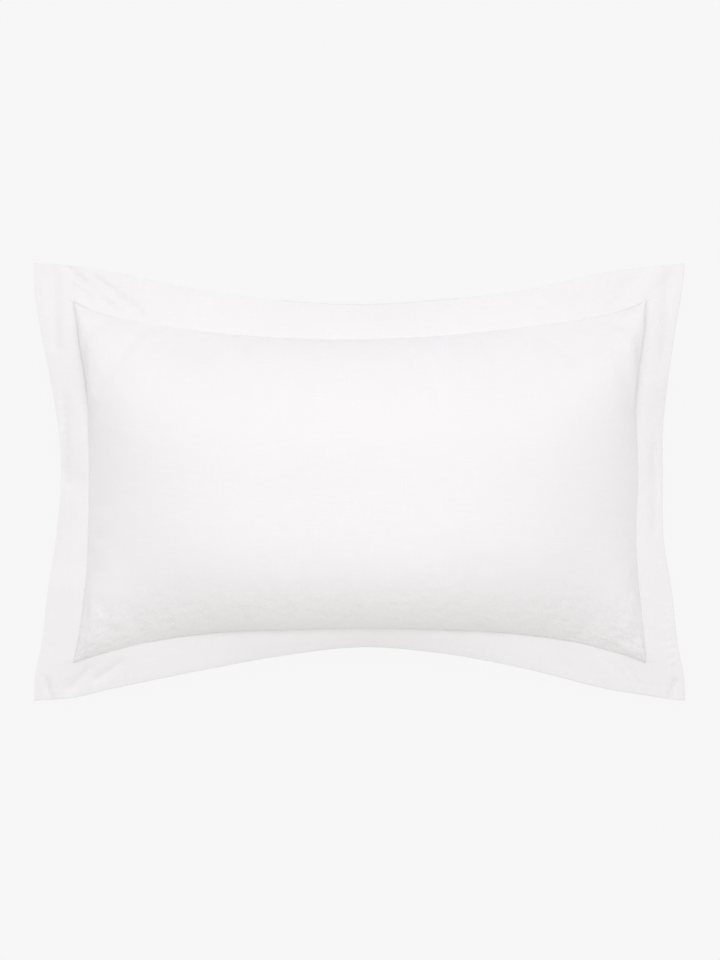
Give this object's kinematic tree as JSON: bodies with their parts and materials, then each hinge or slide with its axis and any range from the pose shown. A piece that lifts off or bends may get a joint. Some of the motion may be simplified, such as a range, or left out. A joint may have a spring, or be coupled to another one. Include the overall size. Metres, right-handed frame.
{
  "type": "pillowcase",
  "caption": "White flanged pillowcase filled by its pillow, lying on its back, with drawn-in sides, a flat border all round and a hemmed envelope back.",
  "frame": {"origin": "middle of the footprint, on the surface that the back lies on", "axes": "+X along the long side, +Y along the short side towards the picture's top, +Z out of the face"},
  "size_m": [0.814, 0.547, 0.188],
  "materials": {
    "filled_body": "matte washed plain weave",
    "flange": "matte washed plain weave",
    "back_panel": "matte washed plain weave"
  },
  "bodies": {
    "root": {"filled_body": "filled_body", "flange": "flange", "back_panel": "back_panel"}
  },
  "joints": []
}
